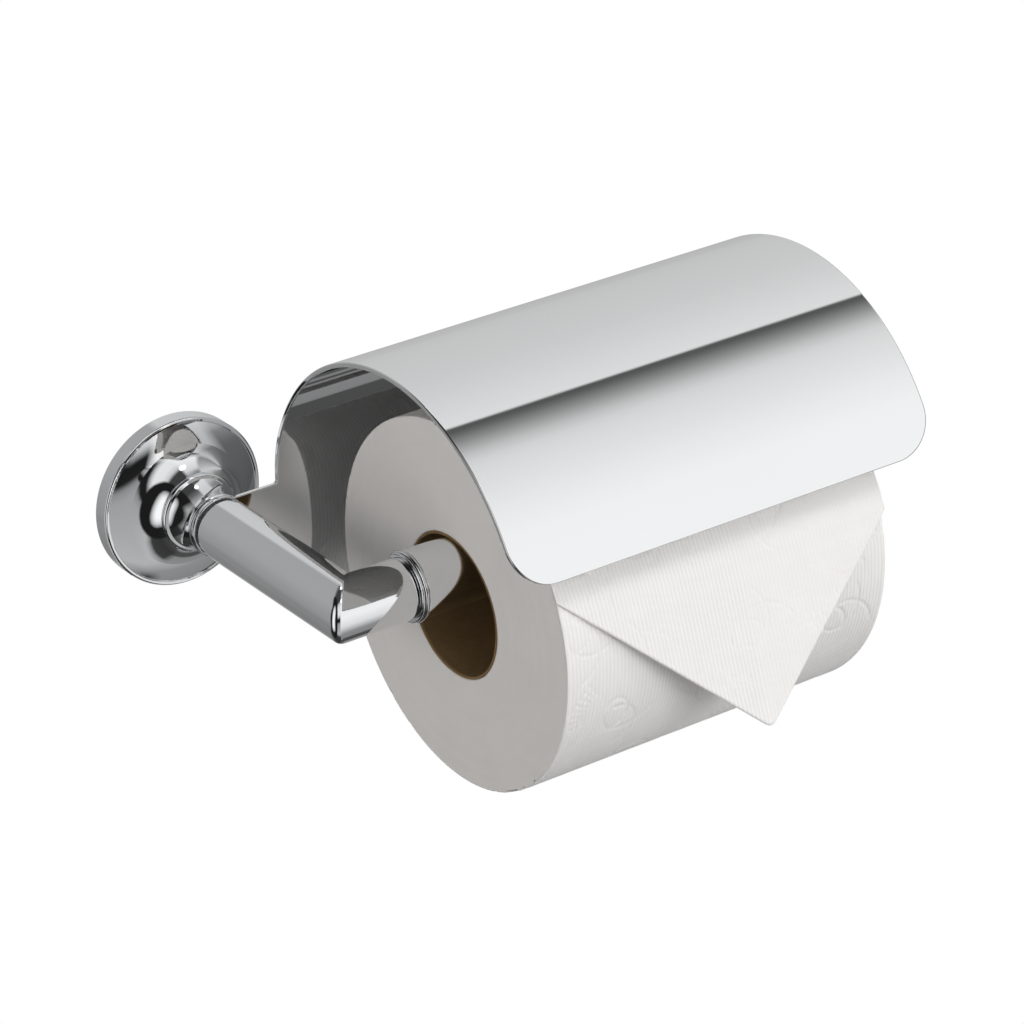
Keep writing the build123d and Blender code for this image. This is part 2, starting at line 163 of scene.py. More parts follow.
def paper_material(name, axis_y, axis_z):
    """Soft tissue: fibres, painted shade in the rib grooves with paler crests, and the cut layers that show
    as rings round the roll's axis.
    """
    material, nodes, links, shader = tree_of(name)
    at = object_coords(nodes)
    split = nodes.new("ShaderNodeSeparateXYZ")
    links.new(at, split.inputs[0])
    dy = math_node(nodes, links, "ADD", split.outputs[1], -axis_y)
    dz = math_node(nodes, links, "ADD", split.outputs[2], -axis_z)
    squares = math_node(nodes, links, "ADD", math_node(nodes, links, "MULTIPLY", dy, dy),
                        math_node(nodes, links, "MULTIPLY", dz, dz))
    radius = math_node(nodes, links, "SQRT", squares)
    rings = nodes.new("ShaderNodeTexNoise")
    rings.noise_dimensions = "1D"
    rings.inputs["Scale"].default_value = 2600
    rings.inputs["Detail"].default_value = 3
    links.new(radius, rings.inputs["W"])
    fibres = noise_node(nodes, links, stretched(nodes, links, at, (1400, 500, 500)), 1.0, 5.0, 0.65, 0.6)
    mottled = noise_node(nodes, links, at, 90.0, 4.0)
    tone = weighted_sum(nodes, links, rings.outputs["Fac"], 0.3, mottled, 0.7)
    # painted shade: the tone is darker in the rib grooves and paler on the rib crests, the ribs' shading
    # painted into the colour
    rib_shade_share = 0.45
    phase = math_node(nodes, links, "MULTIPLY_ADD", split.outputs[0], 2 * math.pi / RIB)
    phase.node.inputs[2].default_value = -2 * math.pi * X0 / RIB
    painted_rib_shade = ranged(nodes, links, math_node(nodes, links, "COSINE", phase), 0.0, rib_shade_share, (-1.0, 1.0))
    tone = math_node(nodes, links, "ADD", math_node(nodes, links, "MULTIPLY", tone, 1 - rib_shade_share), painted_rib_shade)
    links.new(mixed(nodes, links, tone, (0.80, 0.785, 0.765), (0.93, 0.915, 0.905)),
              shader.inputs["Base Color"])
    shader.inputs["Roughness"].default_value = 0.92
    shader.inputs["Specular IOR Level"].default_value = 0.18
    shader.inputs["Sheen Weight"].default_value = 0.12
    shader.inputs["Sheen Roughness"].default_value = 0.6
    height = math_node(nodes, links, "ADD", math_node(nodes, links, "MULTIPLY", rings.outputs["Fac"], 0.8),
                       fibres)
    bumped(nodes, links, shader, height, 0.35, 0.25 * MM)
    return material


def cardboard_material(name):
    """Grey-brown board: fibre flecks and a blotchy tone."""
    material, nodes, links, shader = tree_of(name)
    at = object_coords(nodes)
    flecks = noise_node(nodes, links, stretched(nodes, links, at, (300, 900, 900)), 1.0, 6.0, 0.7, 0.4)
    blotch = noise_node(nodes, links, at, 60.0, 3.0)
    tone = weighted_sum(nodes, links, flecks, 0.65, blotch, 0.35)
    links.new(mixed(nodes, links, tone, (0.14, 0.085, 0.035), (0.36, 0.235, 0.105)),
              shader.inputs["Base Color"])
    shader.inputs["Roughness"].default_value = 0.85
    bumped(nodes, links, shader, flecks, 0.5, 0.3 * MM)
    return material


# ---------------------------------------------------------------- mesh helpers

def grid_faces(rows, cols, close_rows=False, close_cols=False, start=0):
    """Quads of a grid numbered row by row."""
    r = np.arange(rows if close_rows else rows - 1)
    c = np.arange(cols if close_cols else cols - 1)
    rr, cc = np.meshgrid(r, c, indexing="ij")
    r1, c1 = (rr + 1) % rows, (cc + 1) % cols
    quads = np.stack([rr * cols + cc, rr * cols + c1, r1 * cols + c1, r1 * cols + cc], -1)
    return quads.reshape(-1, 4) + start


def array_piece(name, verts, quads):
    """A smooth mesh object from big numpy arrays of vertices and quads."""
    mesh = bpy.data.meshes.new(name)
    mesh.vertices.add(len(verts))
    mesh.vertices.foreach_set("co", np.asarray(verts, dtype=np.float32).ravel())
    mesh.loops.add(4 * len(quads))
    mesh.loops.foreach_set("vertex_index", np.asarray(quads, dtype=np.int32).ravel())
    mesh.polygons.add(len(quads))
    mesh.polygons.foreach_set("loop_start", np.arange(0, 4 * len(quads), 4, dtype=np.int32))
    mesh.polygons.foreach_set("use_smooth", np.ones(len(quads), dtype=bool))
    mesh.update(calc_edges=True)
    mesh.validate()
    piece = bpy.data.objects.new(name, mesh)
    bpy.context.scene.collection.objects.link(piece)
    return piece


def around(columns):
    """The angles of evenly spaced columns round a full turn."""
    return np.arange(columns) * 2 * math.pi / columns


def set_normals(piece, normals):
    """Give a mesh its exact normals, after turning all its faces outwards if they face inwards."""
    mesh = piece.data
    face = mesh.polygons[len(mesh.polygons) // 2]
    if face.normal.dot(Vector(normals[face.vertices[0]])) < 0:
        mesh.flip_normals()
    mesh.normals_split_custom_set_from_vertices(normals.tolist())


def dress(piece, material, body):
    """Give a piece its material, and let it ride on a body."""
    piece.data.materials.append(material)
    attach(piece, body)
    return piece


# ---------------------------------------------------------------- hood, in mm until its mesh is made

HOOD_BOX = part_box("hood")
SHEET = 1.5
BACK_Y = HOOD_BOX[1][1] * 1000
HOOD_X1 = HOOD_BOX[1][0] * 1000
HOOD_X0 = 19.3
# the flat back, its lower edge with its corners, and the two arcs that follow it over the roll
FLAT_TOP = 9.2
FOOT_Z, FOOT_R = -30.0, 9.0
BACK_R, FRONT_R = 38.0, 63.7
BLEND, END = math.radians(22), math.radians(161)
# the tab's half width, the fillet at its root and the eye round the post's stud
TAB = 8.0
NOTCH_R = 1.0
EYE_R = -HOOD_BOX[0][0] * 1000
CORNER_R = 13.0
EDGE_R = 0.4
EDGE_STEPS = 4
# the bent part is cut into strips this wide, the last of them no narrower than LAST_STRIP
BEND_STEP, LAST_STRIP = 1.3, 0.2
LENGTH_BACK = BACK_R * BLEND
LENGTH = FLAT_TOP + LENGTH_BACK + FRONT_R * (END - BLEND)
# spacing of the outline's points: fillets, eye, corners, side edges, long edges
FILLET_STEP, EYE_STEP, CORNER_STEP, SIDE_STEP, LONG_STEP = 0.2, 0.5, 0.6, 6, 12


def bent(s):
    """Where the sheet's outer face is at developed height s: (y, z) and the outward direction (y, z)."""
    if s <= FLAT_TOP:
        return (BACK_Y, s), (1.0, 0.0)
    rear = (BACK_Y - BACK_R, FLAT_TOP)
    a = (s - FLAT_TOP) / BACK_R
    if a <= BLEND:
        return (rear[0] + BACK_R * math.cos(a), rear[1] + BACK_R * math.sin(a)), (math.cos(a), math.sin(a))
    shift = BACK_R - FRONT_R
    front = (rear[0] + shift * math.cos(BLEND), rear[1] + shift * math.sin(BLEND))
    a = BLEND + (s - FLAT_TOP - LENGTH_BACK) / FRONT_R
    return (front[0] + FRONT_R * math.cos(a), front[1] + FRONT_R * math.sin(a)), (math.cos(a), math.sin(a))


def arc_points(cx, cy, r, start, end, step):
    """Points about a step apart on an arc."""
    count = max(2, int(abs(end - start) * r / step))
    return [(cx + r * math.cos(start + (end - start) * i / count),
             cy + r * math.sin(start + (end - start) * i / count)) for i in range(count + 1)]


def line_points(a, b, step):
    """Points about a step apart on a straight line."""
    count = max(1, int(math.dist(a, b) / step))
    return [(a[0] + (b[0] - a[0]) * i / count, a[1] + (b[1] - a[1]) * i / count) for i in range(count + 1)]


def hood_outline():
    """The flat blank's outline, anticlockwise, in mm: x along the roll, s up the back and over."""
    half = math.pi / 2
    root, foot, top = HOOD_X0 - NOTCH_R, FOOT_Z + FOOT_R, LENGTH - CORNER_R
    meet = math.asin(TAB / EYE_R)
    eye_x = EYE_R * math.cos(meet)
    points = arc_points(0, 0, EYE_R, meet, 2 * math.pi - meet, EYE_STEP)
    points += line_points((eye_x, -TAB), (root, -TAB), SIDE_STEP)
    points += arc_points(root, -TAB - NOTCH_R, NOTCH_R, half, 0, FILLET_STEP)
    points += line_points((HOOD_X0, -TAB - NOTCH_R), (HOOD_X0, foot), SIDE_STEP)
    points += arc_points(HOOD_X0 + FOOT_R, foot, FOOT_R, math.pi, math.pi + half, CORNER_STEP)
    points += line_points((HOOD_X0 + FOOT_R, FOOT_Z), (HOOD_X1 - FOOT_R, FOOT_Z), LONG_STEP)
    points += arc_points(HOOD_X1 - FOOT_R, foot, FOOT_R, -half, 0, CORNER_STEP)
    points += line_points((HOOD_X1, foot), (HOOD_X1, top), SIDE_STEP)
    points += arc_points(HOOD_X1 - CORNER_R, top, CORNER_R, 0, half, CORNER_STEP)
    points += line_points((HOOD_X1 - CORNER_R, LENGTH), (HOOD_X0 + CORNER_R, LENGTH), LONG_STEP)
    points += arc_points(HOOD_X0 + CORNER_R, top, CORNER_R, half, 2 * half, CORNER_STEP)
    points += line_points((HOOD_X0, top), (HOOD_X0, TAB + NOTCH_R), SIDE_STEP)
    points += arc_points(root, TAB + NOTCH_R, NOTCH_R, 0, -half, FILLET_STEP)
    points += line_points((root, TAB), (eye_x, TAB), SIDE_STEP)
    # each stretch ends where the next one begins: of two points in one place, only the second is kept
    return [p for p, after in zip(points, points[1:] + points[:1]) if math.dist(p, after) > 1e-4]


def outward_sides(outline):
    """The direction in the blank's plane that points out of the outline, at each of its points."""
    ahead, behind = np.roll(outline, -1, 0) - outline, outline - np.roll(outline, 1, 0)
    ahead /= np.linalg.norm(ahead, axis=1)[:, None]
    behind /= np.linalg.norm(behind, axis=1)[:, None]
    along = ahead + behind
    along /= np.linalg.norm(along, axis=1)[:, None]
    return np.stack([along[:, 1], -along[:, 0]], -1)


def make_hood(material):
    """The bent mirror sheet: a flat blank with a rounded rim, cut into strips and bent over the roll."""
    outline = np.array(hood_outline())
    out = outward_sides(outline)
    bm = bmesh.new()
    facing = bm.verts.layers.float_vector.new("facing")
    rings = []
    turns = [math.pi / 2 * (1 - i / EDGE_STEPS) for i in range(EDGE_STEPS + 1)]
    for side in (1, -1):
        for t in turns[::side]:
            inset = EDGE_R * (1 - math.cos(t))
            depth = EDGE_R * (1 - math.sin(t))
            depth = depth if side == 1 else SHEET - depth
            ring = []
            for p, m in zip(outline, out):
                v = bm.verts.new((p[0] - m[0] * inset, p[1] - m[1] * inset, depth))
                v[facing] = (m[0] * math.cos(t), m[1] * math.cos(t), side * math.sin(t))
                ring.append(v)
            rings.append(ring)
    n = len(outline)
    for lower, upper in zip(rings, rings[1:]):
        for i in range(n):
            bm.faces.new((lower[i], lower[(i + 1) % n], upper[(i + 1) % n], upper[i]))
    for ring, flip in ((rings[0], False), (rings[-1], True)):
        for tri in tessellate_polygon([[Vector((v.co.x, v.co.y, 0)) for v in ring]]):
            a, b, c = (ring[i] for i in tri)
            up = (b.co - a.co).cross(c.co - a.co).z > 0
            bm.faces.new((a, b, c) if up == flip else (a, c, b))
    for s in np.arange(FLAT_TOP, LENGTH - LAST_STRIP, BEND_STEP):
        near = [f for f in bm.faces if min(v.co.y for v in f.verts) < s < max(v.co.y for v in f.verts)]
        edges = {e for f in near for e in f.edges}
        verts = {v for f in near for v in f.verts}
        bmesh.ops.bisect_plane(bm, geom=[*near, *edges, *verts], plane_co=(0, s, 0), plane_no=(0, 1, 0))
    normals = []
    for v in bm.verts:
        x, s, depth = v.co
        (y, z), (ny, nz) = bent(s)
        v.co = (x * MM, (y - ny * depth) * MM, (z - nz * depth) * MM)
        fx, fs, fn = v[facing]
        normals.append(Vector((fx, -nz * fs + ny * fn, ny * fs + nz * fn)).normalized())
    bmesh.ops.triangulate(bm, faces=[f for f in bm.faces if len(f.verts) > 4])
    mesh = bpy.data.meshes.new("hood_sheet")
    bm.to_mesh(mesh)
    bm.free()
    mesh.polygons.foreach_set("use_smooth", [True] * len(mesh.polygons))
    mesh.normals_split_custom_set_from_vertices(normals)
    mesh.update()
    piece = bpy.data.objects.new("hood_sheet", mesh)
    bpy.context.scene.collection.objects.link(piece)
    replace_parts(dress(piece, material, "holder"), "hood")


# ---------------------------------------------------------------- post and arm

# radius of each free end's rounding, and how far the end faces reach in from the tubes' outside
POST_EASE, ARM_EASE = 0.7 * MM, 1.0 * MM
RIM = 1.5 * MM
EASE_STEPS = 6
POST_STEPS, MITRE_STEPS, ARM_STEPS = 60, 12, 24


def make_elbow(material):
    """Post and arm as one brazed tube: the mitre's edge is softly rounded and both free ends are eased."""
    post_lo, post_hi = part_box("post")
    arm_lo, arm_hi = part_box("arm")
    radius = (post_hi[0] - post_lo[0]) / 2
    corner_y = (arm_hi[1] + arm_lo[1]) / 2
    start, end = post_hi[1] - corner_y, arm_hi[0]
    columns = 288
    phi = around(columns)
    side, height = np.cos(phi), np.sin(phi)
    # how far the mitre lies along both tubes, and how far its rounding reaches: more on the corner's outside
    kink = side * radius
    soft = (0.9 + 1.5 * np.clip(-side, 0, 1)) * MM
    rows, facing = [], []

    def ring(at, shrink, axial, radial, leg):
        """One ring of the skin; leg 0 is the post, which runs along Y, and leg 1 the arm, along X."""
        r = radius - shrink
        if leg == 0:
            rows.append(np.stack([r * side, corner_y + at, r * height], -1))
            facing.append(np.stack([radial * side, axial + 0 * side, radial * height], -1))
        else:
            rows.append(np.stack([at, corner_y + r * side, r * height], -1))
            facing.append(np.stack([axial + 0 * side, radial * side, radial * height], -1))

    def eased(far, r, leg, order):
        """The rounded free end of a leg; order 1 runs from its end face to the full radius, -1 back."""
        for i in range(EASE_STEPS + 1)[::order]:
            a = math.pi / 2 * (1 - i / EASE_STEPS)
            axial, radial = math.sin(a), math.cos(a)
            ring(np.full(columns, far - r * (1 - axial)), r * (1 - radial), axial, radial, leg)

    ring(np.full(columns, start), RIM, 1.0, 0.0, 0)
    eased(start, POST_EASE, 0, 1)
    for t in np.linspace(0, 1, POST_STEPS) ** 0.8:
        ring(start - POST_EASE + ((kink + soft) - (start - POST_EASE)) * t, 0, 0.0, 1.0, 0)
    for i in range(1, MITRE_STEPS):
        t = i / MITRE_STEPS
        u, v = (1 - t) ** 2, t**2
        w = 2 * t * (1 - t)
        y = u * (kink + soft) + w * kink + v * kink
        x = u * kink + w * kink + v * (kink + soft)
        rows.append(np.stack([x, corner_y + y, radius * height], -1))
        a, b = math.cos(t * math.pi / 2), math.sin(t * math.pi / 2)
        size = np.sqrt((side * a) ** 2 + (side * b) ** 2 + height**2)
        facing.append(np.stack([side * a / size, side * b / size, height / size], -1))
    for t in np.linspace(0, 1, ARM_STEPS):
        ring((kink + soft) * (1 - t) + (end - ARM_EASE) * t, 0, 0.0, 1.0, 1)
    eased(end, ARM_EASE, 1, -1)
    ring(np.full(columns, end), RIM, 1.0, 0.0, 1)
    grid = np.array(rows)
    piece = array_piece("post_and_arm", grid.reshape(-1, 3), grid_faces(len(grid), columns, close_cols=True))
    set_normals(piece, np.array(facing).reshape(-1, 3))
    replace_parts(dress(piece, material, "holder"), "post", "arm")


def arc_through(p0, pm, p1, count=14):
    """Points on the circle through three points of a profile, from the first to the last."""
    (ax, ay), (bx, by), (cx, cy) = p0, pm, p1
    d = 2 * (ax * (by - cy) + bx * (cy - ay) + cx * (ay - by))
    sa, sb, sc = ax * ax + ay * ay, bx * bx + by * by, cx * cx + cy * cy
    ox = (sa * (by - cy) + sb * (cy - ay) + sc * (ay - by)) / d
    oy = (sa * (cx - bx) + sb * (ax - cx) + sc * (bx - ax)) / d
    size = math.hypot(ax - ox, ay - oy)
    first, last = math.atan2(ay - oy, ax - ox), math.atan2(cy - oy, cx - ox)
    middle = math.atan2(by - oy, bx - ox)
    turn = (last - first) % (2 * math.pi)
    if (middle - first) % (2 * math.pi) > turn:
        turn -= 2 * math.pi
    return [(ox + size * math.cos(first + turn * i / count), oy + size * math.sin(first + turn * i / count))
            for i in range(count + 1)]


def make_turned(name, node, centre, runs, material):
    """A part turned about X from smooth runs of (radius, x) in mm; the edge between two runs stays sharp."""
    columns = 256
    phi = around(columns)
    verts, facing, quads = [], [], []
    for run in runs:
        points = np.array(run)
        along = np.gradient(points, axis=0)
        along /= np.linalg.norm(along, axis=1)[:, None]
        start = len(verts) * columns
        quads.append(grid_faces(len(points), columns, close_cols=True, start=start))
        for (radius, x), (tr, tx) in zip(points * MM, along):
            verts.append(np.stack([np.full(columns, x), centre[1] + radius * np.cos(phi),
                                   centre[2] + radius * np.sin(phi)], -1))
            facing.append(np.stack([np.full(columns, -tr), tx * np.cos(phi), tx * np.sin(phi)], -1))
    piece = array_piece(name, np.array(verts).reshape(-1, 3), np.concatenate(quads))
    set_normals(piece, np.array(facing).reshape(-1, 3))
    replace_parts(dress(piece, material, "holder"), node)


def make_ring(material):
    """The turned ring between arm and bar: groove, small bead, fine groove, larger bead."""
    lo, hi = (np.array(c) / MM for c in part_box("arm_ring"))
    start, end, top = lo[0], hi[0], (hi[2] - lo[2]) / 2
    bore, hub, seat = 3.2, 8.6, 9.7
    small, large = start + 0.45, start + 1.5
    runs = (
        [(bore, start), (hub, start)],
        [(hub, start), (hub, small - 0.1)],
        arc_through((hub, small - 0.1), (hub + 0.03, small - 0.03), (hub + 0.1, small), 4),
        [(hub + 0.1, small), (seat, small)],
        arc_through((seat, small), (top - 0.32, small + 0.42), (seat, small + 0.85)),
        [(seat, small + 0.85), (seat - 0.35, small + 0.9)],
        [(seat - 0.35, small + 0.9), (seat - 0.35, large)],
        [(seat - 0.35, large), (seat + 0.15, large)],
        arc_through((seat + 0.15, large), (top, (large + end) / 2), (seat + 0.3, end), 20),
        [(seat + 0.3, end), (bore, end)],
        [(bore, end), (bore, start)],
    )
    centre = [0, (lo[1] + hi[1]) / 2 * MM, (lo[2] + hi[2]) / 2 * MM]
    make_turned("ring_turned", "arm_ring", centre, runs, material)


# ---------------------------------------------------------------- roll and core

ROLL_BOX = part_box("paper_roll")
CORE_BOX = [np.array(c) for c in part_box("cardboard_core")]
AXIS_Y, AXIS_Z = ((CORE_BOX[0] + CORE_BOX[1]) / 2)[1:]
ROLL_R = (ROLL_BOX[1][1] - ROLL_BOX[0][1]) / 2
CORE_R = (CORE_BOX[1][1] - CORE_BOX[0][1]) / 2
X0, X1 = ROLL_BOX[0][0], ROLL_BOX[1][0]
RIB = 1.25 * MM
STAMP_REACH = 2.2
# one motif of the pressed pattern: three tendrils (first angle, reach in mm, sweep) and a band of dots
PITCH = 33 * MM
TENDRILS = ((0.0, 17.0, 1.5), (2.4, 14.0, -1.9), (4.4, 7.0, 3.6))
TENDRIL_START, TENDRIL_STAMPS, TENDRIL_SIZE = 1.5, 90, 0.44 * MM
BAND_START, BAND_TURN, BAND_INNER, BAND_STEP = 3.2, 0.16, 9.5, 1.9
BAND_DOTS, BAND_DEEP, DOT_SIZE = 24, 3, 0.6 * MM


def emboss(width, length, dx, dt, seed):
    """A pressed pattern as a map of depths from 0 to 1: loose tendrils and curved bands of dots."""
    nx, nt = int(width / dx) + 1, int(round(length / dt))
    depth = np.zeros((nx, nt))
    gen = random.Random(seed)

    def stamp(x, t, size):
        """A soft round dent, which goes on at the map's other side where it passes the end of t."""
        cx, ct = int(round(x / dx)), int(round(t / dt))
        rx, rt = int(STAMP_REACH * size / dx) + 1, int(STAMP_REACH * size / dt) + 1
        for i in range(max(0, cx - rx), min(nx, cx + rx + 1)):
            for j in range(ct - rt, ct + rt + 1):
                far = ((i * dx - x) ** 2 + (j * dt - t) ** 2) / size**2
                if far < 4.5:
                    depth[i, j % nt] = max(depth[i, j % nt], math.exp(-far))

    cols, rows = max(1, int(width / PITCH)), max(1, int(length / PITCH))
    for row in range(rows):
        for col in range(cols + 1):
            x = (col + (0.5 if row % 2 else 0.0) + gen.uniform(-0.1, 0.1)) * width / cols
            t = (row + 0.5 + gen.uniform(-0.1, 0.1)) * length / rows
            turn = gen.uniform(0, 2 * math.pi)
            for start, reach, sweep in TENDRILS:
                for i in range(TENDRIL_STAMPS):
                    u = i / (TENDRIL_STAMPS - 1)
                    r = (TENDRIL_START + reach * u) * MM
                    a = turn + start + sweep * u**1.2
                    stamp(x + r * math.cos(a), t + r * math.sin(a), TENDRIL_SIZE)
            for i in range(BAND_DOTS):
                a = turn + BAND_START + (i // BAND_DEEP) * BAND_TURN
                r = (BAND_INNER + BAND_STEP * (i % BAND_DEEP)) * MM
                stamp(x + r * math.cos(a), t + r * math.sin(a), DOT_SIZE)
    return depth


def about_axis(x, r, theta):
    """Points at radius r and angle theta about the roll's axis, at x along it."""
    x, r = np.broadcast_arrays(x, r * np.ones_like(theta))
    return np.stack([x, AXIS_Y + r * np.cos(theta), AXIS_Z + r * np.sin(theta)], -1)


def make_roll(material):
    """The wound paper as one closed ring: embossed outside, layered cut faces, round bore; depths in mm."""
    columns = 840
    theta = around(columns)
    width = X1 - X0
    press = emboss(width, 2 * math.pi * ROLL_R, RIB / 5, 2 * math.pi * ROLL_R / columns, 11)
    along = np.linspace(0, width, press.shape[0])
    uneven = 0.10 * np.sin(2 * theta + 0.6) + 0.06 * np.sin(5 * theta + 2.0)
    ribs = 0.5 + 0.5 * np.cos(2 * math.pi * along / RIB)
    least, rib_depth, press_depth, swell = 0.04, 0.10, 0.24, 0.06
    valleys = (rib_depth * (1 - ribs))[:, None] * (1 - 0.5 * press)
    depth = least + valleys + press_depth * press + swell * (1 + uneven)[None, :]
    edge = 0.5
    near = np.clip(1 - along / (edge * MM), 0, 1) + np.clip(1 - (width - along) / (edge * MM), 0, 1)
    depth += edge * (1 - np.sqrt(np.clip(1 - near**2, 0, 1)))[:, None]
    skin = about_axis((X0 + along)[:, None], ROLL_R - depth * MM, theta)
    chamfer = 0.12 * MM
    skin[0, :, 0] += chamfer
    skin[-1, :, 0] -= chamfer
    steps = 64
    radii = np.linspace(ROLL_R - edge * MM - 0.15 * MM, CORE_R + 0.25 * MM, steps)[:, None]
    relief = np.convolve(rng.uniform(0, 1, steps + 4), (0.1, 0.2, 0.4, 0.2, 0.1), "valid")[:steps]
    faces = []
    for side, sign, face_x in ((0, 1, X0), (1, -1, X1)):
        wave = 0.5 + 0.5 * np.sin(theta * 3 + side)[None, :] * np.linspace(1, 0.2, steps)[:, None]
        push = (0.16 * relief[:, None] + 0.10 * wave) * MM
        faces.append(about_axis(face_x + sign * push, radii, theta))
    grid = np.concatenate([faces[0][::-1], skin, faces[1]])
    quads = grid_faces(len(grid), columns, close_rows=True, close_cols=True)[:, ::-1]
    piece = array_piece("paper_wound", grid.reshape(-1, 3), quads)
    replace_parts(dress(piece, material, "roll"), "paper_roll")


def make_core(material):
    """The cardboard tube: slightly uneven cut ends and a spiral seam inside."""
    columns, stations = 220, 150
    wall, trim = 0.55 * MM, 0.12
    seam_turns, seam_step = 1.35, 0.096 * MM
    theta = around(columns)
    along = np.linspace(0, 1, stations)
    seam = (theta[None, :] / (2 * math.pi) - along[:, None] * seam_turns) % 1.0
    step = seam_step * np.clip(seam / 0.012, 0, 1) * (1 - np.clip((seam - 0.9) / 0.1, 0, 1))
    ripple = 0.05 * np.sin(7 * theta) + 0.05 * np.sin(3 * theta + 1)
    cut0, cut1 = (trim + ripple) * MM, (trim - ripple) * MM
    width = CORE_BOX[1][0] - CORE_BOX[0][0]
    x = CORE_BOX[0][0] + cut0[None, :] + along[:, None] * (width - cut0 - cut1)[None, :]
    outside = about_axis(x, CORE_R - 0.03 * MM, theta)
    inside = about_axis(x[::-1], (CORE_R - wall - 0.02 * MM - step)[::-1], theta)
    lip = 0.06 * MM
    far_lip = about_axis(x[-1] + lip, CORE_R - wall / 2, theta)
    near_lip = about_axis(x[0] - lip, CORE_R - wall / 2, theta)
    grid = np.concatenate([outside, far_lip[None], inside, near_lip[None]])
    quads = grid_faces(len(grid), columns, close_rows=True, close_cols=True)[:, ::-1]
    piece = array_piece("core_tube", grid.reshape(-1, 3), quads)
    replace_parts(dress(piece, material, "roll"), "cardboard_core")


# ---------------------------------------------------------------- tail

# how far the free flap leans away from straight down, and how much of the sheet still lies on the roll
LEAN, WRAP = math.radians(18), math.radians(30)
# length of the free flap, and where its tip is along the roll
FLAP = 49.6 * MM
TIP_X = 94.3 * MM
# where each fold starts at the sheet's side, below the line where the sheet leaves the roll
LEFT_DROP, RIGHT_DROP = -4.2 * MM, 2.1 * MM
PLY = 0.34 * MM
FOLD_R = 0.50 * MM
# both side edges stand in by this much, and the top and bottom edges by these
SIDE_GAP, TOP_GAP, TIP_GAP = 0.05 * MM, 0.02 * MM, 0.15 * MM
TAIL_FLAT = (X1 - X0 - 2 * SIDE_GAP, FLAP + WRAP * ROLL_R)
# height of the sheet's middle over the roll at its top edge, what is added down to the line where it leaves
# the roll, what is added below that line, and the least height anywhere
LOW, LIFT, FREE, LOWEST = 0.20 * MM, 0.32 * MM, 0.35 * MM, 0.24 * MM


def tail_place(x, v, w):
    """x along the roll, v down from where the sheet leaves the roll, w out from the roll's surface."""
    turn = LEAN + np.where(v < 0, -v, 0) / ROLL_R
    reach = ROLL_R + w
    down = np.where(v > 0, v, 0)
    y = AXIS_Y - reach * np.cos(turn) - down * math.sin(LEAN)
    z = AXIS_Z + reach * np.sin(turn) - down * math.cos(LEAN)
    return np.stack([x, y, z], -1)


def folded(xx, vv):
    """Where the flat sheet's points come to lie: x, v and lift; how far past the fold; normals (x, v, w)."""

    def past_line(x0, v0):
        """Distance past the fold from (x0, v0) to the tip, and the outward direction."""
        tx, tv = TIP_X - x0, FLAP - v0
        size = math.hypot(tx, tv)
        ox, ov = (-tv / size, tx / size) if tx > 0 else (tv / size, -tx / size)
        return (xx - x0) * ox + (vv - v0) * ov, (ox, ov)

    # the two folds run into each other softly at the tip
    left, left_out = past_line(X0, LEFT_DROP)
    right, right_out = past_line(X1, RIGHT_DROP)
    soft = 1.5 * MM
    blend = 1 / (1 + np.exp(np.clip((right - left) / soft * 2, -60, 60)))
    past = np.maximum(left, right) + soft / 2 * np.log1p(np.exp(-2 * np.abs(left - right) / soft))
    ox, ov = (blend * a + (1 - blend) * b for a, b in zip(left_out, right_out))
    size = np.hypot(ox, ov)
    ox, ov = ox / size, ov / size
    # round the fold: a half turn of the fold's radius, then straight back behind
    quarter = math.pi / 2 * FOLD_R
    past = past + quarter * 0.6
    turn = np.clip(past / FOLD_R, -math.pi / 2, math.pi / 2)
    beyond = np.where(past > quarter, quarter - past, FOLD_R * np.cos(turn))
    across = np.where(past < -quarter, past + quarter, beyond)
    shift = across - past - quarter * 0.4
    normal = (ox * np.cos(turn), ov * np.cos(turn), -np.sin(turn))
    return xx + ox * shift, vv + ov * shift, -FOLD_R * np.sin(turn), past, normal


